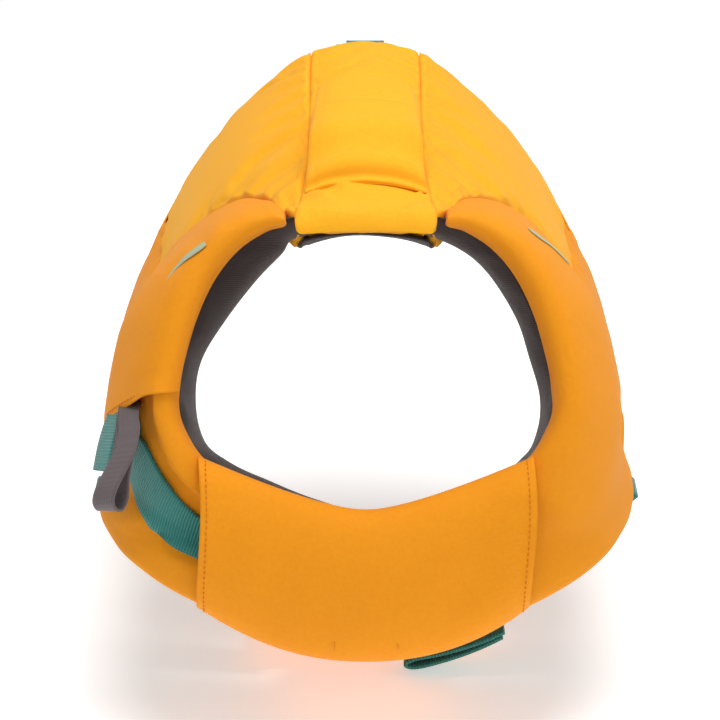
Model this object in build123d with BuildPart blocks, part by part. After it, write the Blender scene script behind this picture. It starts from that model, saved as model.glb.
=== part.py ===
"""Dog life jacket: a padded collar and body tube of sewn panels, closed under the belly by
two webbing straps with side-release buckles.

Frame: +X to the left of the animal, +Y from the neck to the tail, +Z up, floor at z = 0.
Millimetres. Angles round the body are measured from the top of the back.
"""

import os
from math import cos, degrees, radians, sin, tan

from build123d import *

# ---------------------------------------------------------------- driving dimensions
# Body tube: an egg-shaped section, narrow at the spine
body_half_width = 138.0      # at the widest level
widest_level = 125.0         # height of that level above the floor
back_height = 284.0          # top of the back above the floor
back_narrowing = 0.28        # how fast the section narrows towards the spine
neck_narrowing = 0.12        # the same at the neck, where the back is flatter
narrow_from = -20.0          # y behind which the section no longer changes shape
neck_drop = 18.0             # the back is this much lower at the neck than at the rear
back_front = -114.0          # y of the front edge of the back
side_front = -30.0           # y of the front edge of the side panels
body_rear = 170.0            # y of the rear hem

# Padding and cloth
panel_thickness = 24.0
front_edge_thickness = 8.0   # the back thins out to this at the neck
front_edge_depth = 40.0      # over this length
collar_thickness = 28.0
corner_thickness = 25.0      # of the collar where it meets the back
cover_thickness = 1.2        # cover cloth with its seam allowance
fill_gap = 0.2               # between a foam core and its cover
liner_thickness = 1.6
seam_gap = 1.0               # between neighbouring panels

# Panel edges, as angles round the body
spine_angle_front = 24.0
spine_angle_rear = 19.0
side_seam = 70.0
side_edge = 112.0            # lower edge of the side panels

# Neck opening and collar, in a plane leaning back from the vertical
neck_tilt = 20.0
neck_centre_y = -140.0
neck_centre_z = 205.0
neck_half_width = 91.0
neck_top = 64.5              # above the centre
neck_bottom = 80.0           # below the centre
collar_bottom = 154.0        # below the centre
collar_slope = 10.0          # lean of the collar slab at the throat
# Where the collar's rear seam crosses the body: angles round the body, and y
collar_seam = ((38, -28), (56, 0), (76, 8), (101, -20))
collar_corner_y = -68.0      # where the collar's rear seam leaves the spine panel

# Sleeve round the two ends of the collar, under the throat
sleeve_centre = 22.0         # centre of its curve, above the neck centre
sleeve_angle = 36.0          # half the angle that it covers at the neck's edge
sleeve_wall = 1.5
sleeve_gap = 1.0
cinch_travel = 6.0           # degrees that it slides round the collar
collar_end_gap = 14.0        # between the two ends inside the sleeve

# Belly panel
belly_angle = 152.0          # its side edges
belly_thickness = 20.0
belly_front = -82.0
belly_rear = 85.0
belly_level_from = -30.0     # y behind which the belly is level
belly_front_rise = 20.0
belly_flattening = 7.0       # how far the round belly would pass below the floor
chest_half_width = 42.0

# Webbing and buckles
webbing_width = 25.0
webbing_thickness = 1.8
front_strap_y = -76.0
rear_strap_y = 55.0
strap_tail_angle = 19.0      # degrees of the body's section that the folded tail covers
anchor_length = 8.0
buckle_width = 34.0
buckle_thickness = 9.0
buckle_wall = 1.7
buckle_clearance = 0.35
female_length = 28.0
male_length = 22.0
prong_length = 12.0
prong_width = 5.0
prong_travel = 6.0           # degrees
buckle_travel = 14.0
slider_length = 12.0
slider_wall = 1.6
slider_travel = 25.0
slider_start = 16.0          # from the side panel's edge

# Handle on the back
handle_front = -82.0
handle_rear = 78.0
handle_anchor = 20.0         # length of each sewn-down end
handle_width_front = 66.0
handle_width_rear = 50.0
handle_thickness = 11.0
handle_gap = 7.0             # room for fingers under the resting handle
handle_lift = 14.0

# Leash ring on the rear hem
ring_wire = 4.0
ring_inside = 28.0
ring_reach = 24.0
loop_width = 22.0
loop_strap_length = 34.0
binding_thickness = 1.6

# Neck strap, its lock, its tail and the pull loop
neck_webbing_width = 24.0
neck_strap_radius = 143.0
neck_strap_end = 57.0        # degrees from straight down
lock_angle = 5.0             # degrees of arc that the lock covers
lock_wall = 2.2
neck_tail_length = 34.0
pull_loop_length = 48.0
pull_loop_width = 18.0
pull_loop_depth = 5.0
pull_loop_tape = 1.2
tail_x = -118.0              # top of the strap's tail in the neck plane
tail_up = -33.0
tail_lean = -119.0           # its direction in that plane, from +X
pull_loop_x = -113.0         # top of the pull loop
pull_loop_up = -31.0
pull_loop_lean = -110.0
flap_thickness = 2.0
reflector_width = 7.0
reflector_thickness = 0.6

os.makedirs("parts", exist_ok=True)


def save(name, label):
    """Labels a finished piece and writes it to its own file."""
    name.part.label = label
    export_step(name.part, f"parts/{label}.step")


# ---------------------------------------------------------------- the body's section
thick_from = back_front + front_edge_depth


def share(value, start, end):
    """How far value is from start to end, held between 0 and 1."""
    return max(0.0, min(1.0, (value - start) / (end - start)))


def body_xz(angle, y, inset=0.0):
    """The section's point at an angle from the top, moved inwards by inset."""
    above = back_height - widest_level - neck_drop * share(y, body_rear, back_front) ** 2
    below = widest_level + belly_flattening
    below -= belly_front_rise * share(y, belly_level_from, belly_front)
    c, s = cos(radians(angle)), sin(radians(angle))
    fade = 1.0 if c >= 0 else (1.0 + c) ** 2
    narrowing = neck_narrowing + (back_narrowing - neck_narrowing) * share(y, back_front, narrow_from)
    x = (body_half_width - inset) * s * (1.0 - narrowing * c * fade)
    z = widest_level + ((above if c >= 0 else below) - inset) * c
    return x, z


def body_point(angle, y, inset=0.0):
    x, z = body_xz(angle, y, inset)
    return Vector(x, y, z)


def angle_at(x, y):
    """The angle at which the upper part of the section reaches x."""
    low, high = 0.0, 90.0
    for _ in range(30):
        middle = (low + high) / 2
        low, high = (middle, high) if body_xz(middle, y)[0] < x else (low, middle)
    return low


def spine_angle(y):
    return spine_angle_front + (spine_angle_rear - spine_angle_front) * share(y, back_front, body_rear)


def section_face(y, start, end, outer, inner, points):
    """The face between two angles and two depths below the outer skin."""
    angles = [start + (end - start) * i / (points - 1) for i in range(points)]
    with BuildSketch(Plane.XZ.offset(-y)) as face:
        with BuildLine():
            skin = Spline(*[body_xz(angle, y, outer) for angle in angles])
            under = Spline(*[body_xz(angle, y, inner) for angle in angles])
            Line(skin @ 0, under @ 0)
            Line(skin @ 1, under @ 1)
        make_face()
    return face.sketch


def panel(stations, outer=0.0, inner=panel_thickness, trim=0.0, points=5, ruled=False, thin=False):
    """A curved slab through (y, start, end) stations, taken in by trim on every side."""
    turn = degrees(trim / body_half_width)
    faces = []
    for y, start, end in stations:
        shift = trim if y == stations[0][0] else -trim if y == stations[-1][0] else 0.0
        thinning = (panel_thickness - front_edge_thickness) * (1 - share(y, back_front, thick_from)) ** 1.5
        depth = inner - (thinning if thin else 0.0) - trim
        faces.append(section_face(y + shift, start + turn, end - turn, outer + trim, depth, points))
    with BuildPart() as slab:
        loft(sections=faces, ruled=ruled)
    return slab.part


# ---------------------------------------------------------------- the collar's section
neck_plane = Plane(
    origin=(0, neck_centre_y, neck_centre_z),
    x_dir=(1, 0, 0),
    z_dir=(0, -cos(radians(neck_tilt)), sin(radians(neck_tilt))),
)
inner_radius = sleeve_centre + neck_bottom
outer_radius = sleeve_centre + collar_bottom
throat_angle = sleeve_angle + cinch_travel + 2.0
inset = panel_thickness / 2
half_collar = collar_thickness / 2


def ring(x, up, depth):
    """A point by its place in the neck plane and its depth behind it."""
    return neck_plane.from_local_coords(Vector(x, up, -depth))


def ring_direction(angle):
    """A direction in the neck plane, by its angle from +X."""
    return neck_plane.x_dir * cos(radians(angle)) + neck_plane.y_dir * sin(radians(angle))


cinch_axis = Axis(ring(0, sleeve_centre, 0), neck_plane.z_dir)


def throat_line(angle):
    """The slab's middle line and running direction at an angle from straight down."""
    rise = (outer_radius - inner_radius) * tan(radians(collar_slope))
    s, c = sin(radians(angle)), cos(radians(angle))
    inner = ring(inner_radius * s, sleeve_centre - inner_radius * c, half_collar)
    outer = ring(outer_radius * s, sleeve_centre - outer_radius * c, half_collar + rise)
    return inner, outer, ring_direction(angle - 180)


def collar_lines():
    """Middle line and running direction at each station, from the top corner to the throat."""
    w, t, b, front = neck_half_width, neck_top, neck_bottom, half_collar
    corner = spine_angle(collar_corner_y) + 1
    low = 0.97 * body_half_width
    deep = inset + 4 * seam_gap
    return [
        (ring(0.49 * w, 1.04 * t, front), body_point(corner, collar_corner_y, deep), ring_direction(-25)),
        (ring(0.84 * w, 0.92 * t, front), body_point(*collar_seam[0], deep), ring_direction(-50)),
        (ring(0.95 * w + front, 0.42 * t, front), body_point(*collar_seam[1], inset), ring_direction(-74)),
        (ring(w + front, -0.12 * b, front), body_point(*collar_seam[2], inset), ring_direction(-90)),
        (ring(0.96 * w + front, -0.44 * b, front), body_point(*collar_seam[3], inset), ring_direction(-106)),
        (ring(0.92 * w + 0.7 * front, -0.51 * b, front), ring(low, -72, 84), ring_direction(-114)),
        (ring(0.82 * w + 0.35 * front, -0.60 * b, front), ring(0.98 * low, -88, 48), ring_direction(-126)),
        throat_line(throat_angle),
    ]


def slab_thickness(station):
    return collar_thickness - (collar_thickness - corner_thickness) * max(0.0, 1 - station / 2)


def slab_plane(line, side=1):
    """The section's plane: x from the neck's edge outwards, y to the outside of the jacket."""
    inner, outer, run = (Vector(v.X * side, v.Y, v.Z) for v in line)
    along = (outer - inner).normalized()
    run = (run - along * run.dot(along)).normalized() * side
    return Plane(origin=(inner + outer) * 0.5, x_dir=along, z_dir=run)


def slab_face(line, side, trim=0.0, thickness=collar_thickness, lift=0.0, shift=0.0, short=0.0):
    """A rounded section of the slab, moved outwards by lift and along the collar by shift.

    short cuts its outer end back.
    """
    plane = slab_plane(line, side)
    length = (line[1] - line[0]).length + collar_thickness / 2 - 2 * trim - short
    height = thickness - 2 * trim
    start = plane.origin + plane.z_dir * shift * side
    with BuildSketch(Plane(origin=start, x_dir=plane.x_dir, z_dir=plane.z_dir)) as face:
        with Locations((-short / 2, lift)):
            RectangleRounded(length, height, 0.44 * height)
    return face.sketch


def collar(side, trim=0.0):
    """One side of the collar, down to where the sleeve's straight run begins."""
    faces = [
        slab_face(line, side, trim, slab_thickness(i), shift=trim if i == 0 else 0.0)
        for i, line in enumerate(collar_lines())
    ]
    with BuildPart() as stretch:
        loft(sections=faces, ruled=True)
    return stretch.part


def throat(side, trim=0.0):
    """The end of one side of the collar, which lies inside the sleeve."""
    stop = degrees((collar_end_gap / 2 + trim) / inner_radius)
    axis = Axis(cinch_axis.position, neck_plane.z_dir * -side)
    with BuildPart() as stretch:
        revolve(slab_face(throat_line(throat_angle), side, trim), axis, throat_angle - stop)
    return stretch.part


def round_throat(trim, start, end, thickness=collar_thickness, lift=0.0, centre=0.0, length=None):
    """A solid with the collar's curve, between two angles towards +X from straight down."""
    plane = slab_plane(throat_line(start))
    size = (outer_radius - inner_radius) / cos(radians(collar_slope)) + collar_thickness / 2
    size = size - 2 * trim if length is None else length
    height = thickness - 2 * trim
    with BuildPart() as stretch:
        with BuildSketch(plane):
            with Locations((centre, lift)):
                RectangleRounded(size, height, 0.44 * height)
        revolve(axis=cinch_axis, revolution_arc=end - start)
    return stretch.part


# ---------------------------------------------------------------- covers, foam and liners
collars = {side: collar(side) for side in (1, -1)}
collar_room = {side: collar(side, -seam_gap) for side in (1, -1)}
cover_room = {side: collar(side, -seam_gap - cover_thickness) for side in (1, -1)}
foam_trim = cover_thickness + fill_gap


def cut_panel(stations, trim, room, sides, floor, **sizes):
    """A panel taken in by trim, cut back from the collar and, underneath, at the floor."""
    with BuildPart() as piece:
        add(panel(stations, trim=trim, **sizes))
        for side in sides:
            add(room[side], mode=Mode.SUBTRACT)
        if floor:
            split(bisect_by=Plane.XY.offset(trim))
    return piece.part.solids().sort_by(SortBy.VOLUME)[-1]


def padded(label, stations, sides=(), floor=False, **sizes):
    """The cover and the foam core of one panel."""
    with BuildPart() as foam:
        add(cut_panel(stations, foam_trim, cover_room, sides, floor, **sizes))
    save(foam, f"{label}_foam")
    with BuildPart() as cover:
        add(cut_panel(stations, 0.0, collar_room, sides, floor, **sizes))
        hollow = cut_panel(stations, cover_thickness, cover_room, sides, floor, **sizes)
        add(hollow, mode=Mode.SUBTRACT)
    save(cover, f"{label}_cover")


def other_side(stations):
    return [(y, -end, -start) for y, start, end in stations]


gap_angle = degrees(seam_gap / body_half_width)
side_names = {1: "left", -1: "right"}

body_ys = [back_front, (back_front + thick_from) / 2, thick_from, (thick_from + narrow_from) / 2]
body_ys += [narrow_from + (body_rear - narrow_from) * i / 3 for i in range(4)]


def ys_from(front):
    """The body's stations behind a front edge."""
    return [front] + [y for y in body_ys if y > front + seam_gap]


spine_stations = [(y, -spine_angle(y), spine_angle(y)) for y in body_ys]
padded("spine", spine_stations, (1, -1), ruled=True, thin=True)
spine_block = panel(spine_stations, trim=-seam_gap, ruled=True, thin=True)

back_stations = [(y, spine_angle(y) + gap_angle, side_seam) for y in ys_from(collar_corner_y)]
side_stations = [(y, side_seam + gap_angle, side_edge) for y in ys_from(side_front)]
padded("left_back", back_stations, (1,), ruled=True)
padded("right_back", other_side(back_stations), (-1,), ruled=True)
padded("left_side", side_stations, (1,), ruled=True)
padded("right_side", other_side(side_stations), (-1,), ruled=True)

belly_ys = (belly_front, (belly_front + belly_level_from) / 2, belly_level_from, belly_rear)
belly_stations = [(y, belly_angle, 360 - belly_angle) for y in belly_ys]
padded("belly", belly_stations, floor=True, inner=belly_thickness, ruled=True)

for side, name in side_names.items():
    with BuildPart() as neck_foam:
        add(collar(side, foam_trim))
        add(throat(side, foam_trim))
    save(neck_foam, f"{name}_neck_foam")
    with BuildPart() as neck_hollow:
        add(collar(side, cover_thickness))
        add(throat(side, cover_thickness))
    with BuildPart() as neck_cover:
        add(collars[side])
        add(throat(side))
        add(neck_hollow.part, mode=Mode.SUBTRACT)
    save(neck_cover, f"{name}_neck_cover")

# The dark linings lie just inside the padding
lining_gap = 0.5
lining_depth = panel_thickness + lining_gap
lining_edge = side_edge - 2
with BuildPart() as body_lining:
    stations = [(y, -lining_edge, lining_edge) for y in ys_from(collar_corner_y)]
    bottom = lining_depth + liner_thickness
    add(panel(stations, outer=lining_depth, inner=bottom, points=13, ruled=True))
    for side in (1, -1):
        add(collar(side, -seam_gap - lining_gap - liner_thickness), mode=Mode.SUBTRACT)
    largest = body_lining.part.solids().sort_by(SortBy.VOLUME)[-1]
    add(largest, mode=Mode.REPLACE)
save(body_lining, "body_lining")

belly_lining_depth = belly_thickness + lining_gap
with BuildPart() as belly_lining:
    stations = [(y, belly_angle + 1, 359 - belly_angle) for y in belly_ys]
    bottom = belly_lining_depth + liner_thickness
    add(panel(stations, outer=belly_lining_depth, inner=bottom, points=7, ruled=True))
save(belly_lining, "belly_lining")

for side, name in side_names.items():
    faces = [
        slab_face(
            line,
            side,
            trim=0.0,
            thickness=liner_thickness,
            lift=-(slab_thickness(i) + liner_thickness) / 2 - lining_gap,
            shift=2 * seam_gap if i == 0 else 0.0,
            short=collar_thickness,
        )
        for i, line in enumerate(collar_lines())
    ]
    with BuildPart() as neck_lining:
        loft(sections=faces, ruled=True)
        add(spine_block, mode=Mode.SUBTRACT)
    save(neck_lining, f"{name}_neck_lining")

# ---------------------------------------------------------------- sleeve and chest panel
sleeve_room = sleeve_gap + sleeve_wall
with BuildPart() as neck_sleeve:
    add(round_throat(-sleeve_room, -sleeve_angle, sleeve_angle))
    add(round_throat(-sleeve_gap, -sleeve_angle - 1, sleeve_angle + 1), mode=Mode.SUBTRACT)
save(neck_sleeve, "neck_sleeve")

chest_rear = belly_front - seam_gap
with BuildPart() as chest_panel:
    with BuildSketch(Plane.YZ.offset(-chest_half_width)):
        with BuildLine():
            upper_line = ((-156, 72), (-118, 46), (chest_rear, 29))
            lower_line = ((chest_rear, 19), (-122, 32), (-156, 56))
            Polyline(*upper_line, *lower_line, close=True)
        make_face()
    extrude(amount=2 * chest_half_width)
    clear = round_throat(-sleeve_room - seam_gap, -sleeve_angle - 10, sleeve_angle + 10)
    add(clear, mode=Mode.SUBTRACT)
    behind = neck_plane.origin - neck_plane.z_dir * collar_thickness
    split(bisect_by=Plane(origin=behind, z_dir=-neck_plane.z_dir))
save(chest_panel, "chest_panel")

# ---------------------------------------------------------------- edge binding
with BuildPart() as rear_binding:
    start = body_rear + fill_gap
    stations = [(y, -side_edge, side_edge) for y in (start, start + binding_thickness)]
    add(panel(stations, inner=lining_depth + liner_thickness, points=13, ruled=True))
save(rear_binding, "rear_binding")

# ---------------------------------------------------------------- handle and leash ring
def across(y_values, width_front, width_rear):
    """Stations for a strip along the spine with its width changing evenly."""
    first, last = y_values[0], y_values[-1]
    widths = [width_front + (width_rear - width_front) * (y - first) / (last - first) for y in y_values]
    return [(y, -angle_at(w / 2, y), angle_at(w / 2, y)) for y, w in zip(y_values, widths)]


grip_front = handle_front + handle_anchor
grip_rear = handle_rear - handle_anchor
grip_ys = [grip_front + (grip_rear - grip_front) * i / 3 for i in range(4)]


def handle_width(y):
    return handle_width_front + (handle_width_rear - handle_width_front) * share(y, handle_front, handle_rear)


def grip(trim):
    """The padded grip: flat underneath, at a steady height over the back."""
    faces = []
    for y in grip_ys:
        shift = trim if y == grip_ys[0] else -trim if y == grip_ys[-1] else 0.0
        height = handle_thickness - 2 * trim
        with BuildSketch(Plane.XZ.offset(-y - shift)) as face:
            with Locations((0, body_xz(0, y)[1] + handle_gap + handle_thickness / 2)):
                RectangleRounded(handle_width(y) - 2 * trim, height, 0.44 * height)
        faces.append(face.sketch)
    with BuildPart() as piece:
        loft(sections=faces, ruled=True)
    return piece.part


with BuildPart() as handle_foam:
    add(grip(foam_trim))
save(handle_foam, "handle_foam")
with BuildPart() as handle_cover:
    add(grip(0.0))
    add(grip(cover_thickness), mode=Mode.SUBTRACT)
save(handle_cover, "handle_cover")

anchor_ends = {"front": (handle_front, grip_front - seam_gap), "rear": (grip_rear + seam_gap, handle_rear)}
for end, ys in anchor_ends.items():
    with BuildPart() as handle_anchor_strap:
        stations = across(ys, handle_width(ys[0]), handle_width(ys[1]))
        add(panel(stations, outer=-handle_gap - handle_thickness / 2, inner=-fill_gap, ruled=True))
    save(handle_anchor_strap, f"handle_{end}_anchor")

tube_radius = ring_wire / 2 + buckle_clearance
ring_y = body_rear + binding_thickness + tube_radius + webbing_thickness + 2 * fill_gap
ring_z = back_height - ring_wire
with BuildPart() as leash_loop:
    strip_ys = (body_rear - loop_strap_length, ring_y)
    strip = across(strip_ys, loop_width, loop_width)
    add(panel(strip, outer=-webbing_thickness - fill_gap, inner=-fill_gap, ruled=True))
    with BuildSketch(Plane.YZ.offset(-loop_width / 2)):
        with Locations((ring_y, ring_z)):
            Circle(tube_radius + webbing_thickness)
    extrude(amount=loop_width)
    with BuildSketch(Plane.YZ.offset(-loop_width)):
        with Locations((ring_y, ring_z)):
            Circle(tube_radius)
    extrude(amount=2 * loop_width, mode=Mode.SUBTRACT)
save(leash_loop, "leash_loop")

ring_half = (ring_inside + ring_wire) / 2
with BuildPart() as leash_ring:
    with BuildLine(Plane.XZ.offset(-ring_y)) as bow:
        ThreePointArc((-ring_half, ring_z), (0, ring_z - ring_reach), (ring_half, ring_z))
    with BuildSketch(Plane(origin=bow.line @ 0, z_dir=bow.line % 0)):
        Circle(ring_wire / 2)
    sweep(path=bow.line)
    with BuildSketch(Plane.YZ.offset(-ring_half)):
        with Locations((ring_y, ring_z)):
            Circle(ring_wire / 2)
    extrude(amount=2 * ring_half)
    with Locations((-ring_half, ring_y, ring_z), (ring_half, ring_y, ring_z)):
        Sphere(ring_wire / 2)
save(leash_ring, "leash_ring")

# ---------------------------------------------------------------- belly straps and buckles
belly_block = cut_panel(belly_stations, 0.0, {}, (), True, inner=belly_thickness, ruled=True)
side_blocks = {
    1: panel(side_stations, ruled=True),
    -1: panel(other_side(side_stations), ruled=True),
}


def strap_ends(y):
    """Where a strap leaves the side panel and where it meets the belly panel, on the left."""
    high = body_point(side_edge, y, inset)
    low = (body_point(belly_angle, y) + body_point(belly_angle, y, belly_thickness)) * 0.5
    return high, low


def strap_plane(y, side):
    """Origin at the side panel, x along the strap towards the belly, z to the outside."""
    flip = [Vector(side * v.X, v.Y, v.Z) for v in strap_ends(y)]
    along = (flip[1] - flip[0]).normalized()
    out = along.cross(Vector(0, side, 0)).normalized()
    return Plane(origin=flip[0], x_dir=along, z_dir=out)


def strap_length(y):
    high, low = strap_ends(y)
    return (low - high).length


def block(start, end, width, height):
    """A box along the strap between two distances from the side panel."""
    with Locations(((start + end) / 2, 0, 0)):
        Box(end - start, width, height)


def slot(start, end, width, height):
    with Locations(((start + end) / 2, 0, 0)):
        Box(end - start, width, height, mode=Mode.SUBTRACT)


slot_width = webbing_width + 2 * buckle_clearance
slot_height = webbing_thickness + 2 * buckle_clearance
mouth = anchor_length + female_length
male_start = mouth + buckle_clearance
male_end = male_start + male_length
plate_gap = buckle_thickness - 2 * buckle_wall
prong_y = buckle_width / 2 - prong_width / 2 - buckle_clearance
prong_foot = male_start - 2 * buckle_clearance
sewn = anchor_length * 2


def sewn_strap(plane, start, end, height, side, label):
    """A stretch of webbing, cut back to the faces that it is sewn to."""
    with BuildPart(plane) as strap:
        block(start, end, webbing_width, height)
    with BuildPart() as joined:
        add(strap.part)
        add(collars[side], mode=Mode.SUBTRACT)
        add(side_blocks[side], mode=Mode.SUBTRACT)
        add(belly_block, mode=Mode.SUBTRACT)
    save(joined, label)


for place, y in (("front", front_strap_y), ("rear", rear_strap_y)):
    buckle_plane = strap_plane(y, 1)
    length = strap_length(y)
    sewn_strap(buckle_plane, -sewn, anchor_length, 2 * webbing_thickness, 1, f"{place}_buckle_anchor")

    with BuildPart(buckle_plane) as female:
        block(anchor_length, mouth, buckle_width, buckle_thickness)
        fillet(female.edges().filter_by(Axis(origin=(0, 0, 0), direction=buckle_plane.z_dir)), 3)
        slot(mouth - prong_length - 2, mouth + 1, buckle_width + 2, plate_gap)
    save(female, f"{place}_buckle_female")

    with BuildPart(buckle_plane) as male:
        block(male_start, male_end, buckle_width, buckle_thickness)
        fillet(male.edges().filter_by(Axis(origin=(0, 0, 0), direction=buckle_plane.z_dir)), 3)
        guide_height = plate_gap - 2 * buckle_clearance
        block(male_start - prong_length + 1, male_start + 1, prong_width, guide_height)
        slot(male_start + prong_width, male_end + 1, slot_width, slot_height)
    save(male, f"{place}_buckle_male")

    for i, offset_y in enumerate((-prong_y, prong_y)):
        with BuildPart(buckle_plane) as prong:
            with Locations((prong_foot - prong_length / 2, offset_y, 0)):
                Box(prong_length, prong_width, plate_gap - 2 * buckle_clearance)
        save(prong, f"{place}_buckle_prong_{i + 1}")

    free_start = male_start + prong_width + buckle_travel + buckle_clearance
    sewn_strap(buckle_plane, free_start, length + sewn, webbing_thickness, 1, f"{place}_left_strap")

    slider_plane = strap_plane(y, -1)
    sewn_strap(slider_plane, -sewn, length + sewn, webbing_thickness, -1, f"{place}_right_strap")

    with BuildPart(slider_plane) as slider:
        slider_size = (slot_width + 2 * slider_wall, slot_height + 2 * slider_wall)
        block(slider_start, slider_start + slider_length, *slider_size)
        fillet(slider.edges().filter_by(Axis(origin=(0, 0, 0), direction=slider_plane.z_dir)), 2)
        slot(slider_start - 1, slider_start + slider_length + 1, slot_width, slot_height)
    save(slider, f"{place}_slider")

tail_ys = (front_strap_y - webbing_width / 2, front_strap_y, front_strap_y + webbing_width / 2)
with BuildPart() as strap_tail:
    stations = [(y, belly_angle, belly_angle + strap_tail_angle) for y in tail_ys]
    add(panel(stations, outer=-2 * webbing_thickness - 2 * fill_gap, inner=-fill_gap, ruled=True))
save(strap_tail, "front_strap_tail")

# ---------------------------------------------------------------- neck strap and its fittings
strap_lift = half_collar + sleeve_gap + sleeve_wall / 2
strap_centre = (neck_strap_radius - (inner_radius + outer_radius) / 2) / cos(radians(collar_slope))
with BuildPart() as neck_strap:
    webbing = (webbing_thickness, strap_lift, strap_centre, neck_webbing_width)
    add(round_throat(0, -neck_strap_end, -sleeve_angle, *webbing))
save(neck_strap, "neck_strap")

lock_start = -neck_strap_end + cinch_travel / 2
lock_end = lock_start + lock_angle
lock_slot = (webbing_thickness + 2 * buckle_clearance, neck_webbing_width + 2 * buckle_clearance)
lock_outer = (lock_slot[0] + 2 * lock_wall, lock_slot[1] + 2 * lock_wall)
with BuildPart() as neck_lock:
    add(round_throat(0, lock_start, lock_end, lock_outer[0], strap_lift, strap_centre, lock_outer[1]))
    room = round_throat(0, lock_start - 1, lock_end + 1, lock_slot[0], strap_lift, strap_centre, lock_slot[1])
    add(room, mode=Mode.SUBTRACT)
save(neck_lock, "neck_strap_lock")

with BuildPart() as neck_flap:
    lift = half_collar + 1.5 * seam_gap + flap_thickness / 2
    flap_lines = collar_lines()[2:5]
    cut = 2 * collar_thickness
    faces = [slab_face(line, -1, 0.0, flap_thickness, lift, short=cut) for line in flap_lines]
    loft(sections=faces, ruled=True)
save(neck_flap, "neck_flap")

with BuildPart() as neck_tail:
    tail_run = ring_direction(tail_lean)
    tail_plane = Plane(origin=ring(tail_x, tail_up, -fill_gap), x_dir=tail_run, z_dir=neck_plane.z_dir)
    with BuildSketch(tail_plane):
        with Locations((neck_tail_length / 2, 0)):
            RectangleRounded(neck_tail_length, neck_webbing_width, 3)
    extrude(amount=webbing_thickness)
save(neck_tail, "neck_strap_tail")

with BuildPart() as pull_loop:
    pull_depth = webbing_thickness + seam_gap + pull_loop_depth / 2
    pull_run = ring_direction(pull_loop_lean)
    across_pull = neck_plane.z_dir.cross(pull_run)
    pull_top = ring(pull_loop_x, pull_loop_up, -pull_depth)
    with BuildSketch(Plane(origin=pull_top, x_dir=pull_run, z_dir=across_pull)):
        with Locations((pull_loop_length / 2, 0)):
            SlotOverall(pull_loop_length, pull_loop_depth)
            hollow = (pull_loop_length - 2 * pull_loop_tape, pull_loop_depth - 2 * pull_loop_tape)
            SlotOverall(*hollow, mode=Mode.SUBTRACT)
    extrude(amount=pull_loop_width / 2, both=True)
save(pull_loop, "pull_loop")


def line_between(place):
    """The collar's line at a fractional station."""
    i = int(place)
    lines = collar_lines()
    return [a + (b - a) * (place - i) for a, b in zip(lines[i], lines[i + 1])]


for side, name in side_names.items():
    faces = []
    for place in (1.15, 1.75):
        line = line_between(place)
        plane = slab_plane(line, side)
        reach = (line[1] - line[0]).length / 2 - 14
        lift = slab_thickness(place) / 2 + reflector_thickness
        with BuildSketch(plane) as face:
            with Locations((reach, lift)):
                Rectangle(reflector_width, reflector_thickness)
        faces.append(face.sketch)
    with BuildPart() as reflector:
        loft(sections=faces, ruled=True)
    save(reflector, f"{name}_reflector")
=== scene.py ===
from math import cos, pi, radians, sin

import bmesh
import bpy
import numpy as np
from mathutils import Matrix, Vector


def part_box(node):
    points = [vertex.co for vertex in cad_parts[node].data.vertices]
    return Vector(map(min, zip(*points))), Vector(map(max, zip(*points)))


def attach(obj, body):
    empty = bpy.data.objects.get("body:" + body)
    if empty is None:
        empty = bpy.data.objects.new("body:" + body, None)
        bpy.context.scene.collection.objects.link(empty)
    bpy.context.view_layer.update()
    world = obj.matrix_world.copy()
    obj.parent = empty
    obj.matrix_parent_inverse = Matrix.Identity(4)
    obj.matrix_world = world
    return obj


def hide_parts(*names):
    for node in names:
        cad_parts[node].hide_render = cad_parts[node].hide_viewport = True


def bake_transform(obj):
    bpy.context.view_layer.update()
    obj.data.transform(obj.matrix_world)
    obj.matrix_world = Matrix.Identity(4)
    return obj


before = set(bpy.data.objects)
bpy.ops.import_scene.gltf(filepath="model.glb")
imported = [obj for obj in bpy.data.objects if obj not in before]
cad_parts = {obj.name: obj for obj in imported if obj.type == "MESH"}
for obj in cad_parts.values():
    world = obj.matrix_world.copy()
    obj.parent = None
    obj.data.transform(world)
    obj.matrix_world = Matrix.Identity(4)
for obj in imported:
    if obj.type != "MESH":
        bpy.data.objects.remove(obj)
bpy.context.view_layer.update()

# Geometry is worked out in millimetres in the CAD frame and scaled once, in mesh_piece().
MM = 0.001

# ---------------------------------------------------------------- sizes that follow the CAD model
low_corner, high_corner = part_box("spine_cover")
back_front = low_corner.y / MM          # front edge of the back
body_rear = high_corner.y / MM          # rear hem
back_height = high_corner.z / MM        # top of the back
half_width = 138.0                      # of the body tube at its widest level
widest_level = 125.0
panel_depth = 24.0
neck_drop = 18.0
narrow_from = -20.0
belly_front, belly_rear = (corner.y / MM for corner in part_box("belly_cover"))
belly_level_from = -30.0
back_seam_angle = 70.0                  # between back panel and side panel, from the top
side_edge_angle = 112.0                 # lower edge of a side panel
belly_edge_angle = 152.0                # edge of the belly panel
belly_depth = 20.0
webbing_width, webbing_thickness = 25.0, 1.8
neck_strap_width = 24.0
pull_tape_width = 14.0
front_strap_y, rear_strap_y = -76.0, 55.0
neck_centre = np.array([0.0, -140.0, 205.0])
view_distance = 1600.0                  # from the camera to the neck plane
mm_per_degree = 2.4                     # girth of the tube for one degree round it
neck_tilt = radians(20.0)
across = np.array([1.0, 0.0, 0.0])
up_ring = np.array([0.0, sin(neck_tilt), cos(neck_tilt)])
deep = np.array([0.0, cos(neck_tilt), -sin(neck_tilt)])


def share(value, start, end):
    """How far value is from start to end, held between 0 and 1."""
    return np.clip((value - start) / (end - start), 0.0, 1.0)


def smooth(value, start, end):
    t = share(value, start, end)
    return t * t * (3 - 2 * t)


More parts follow.
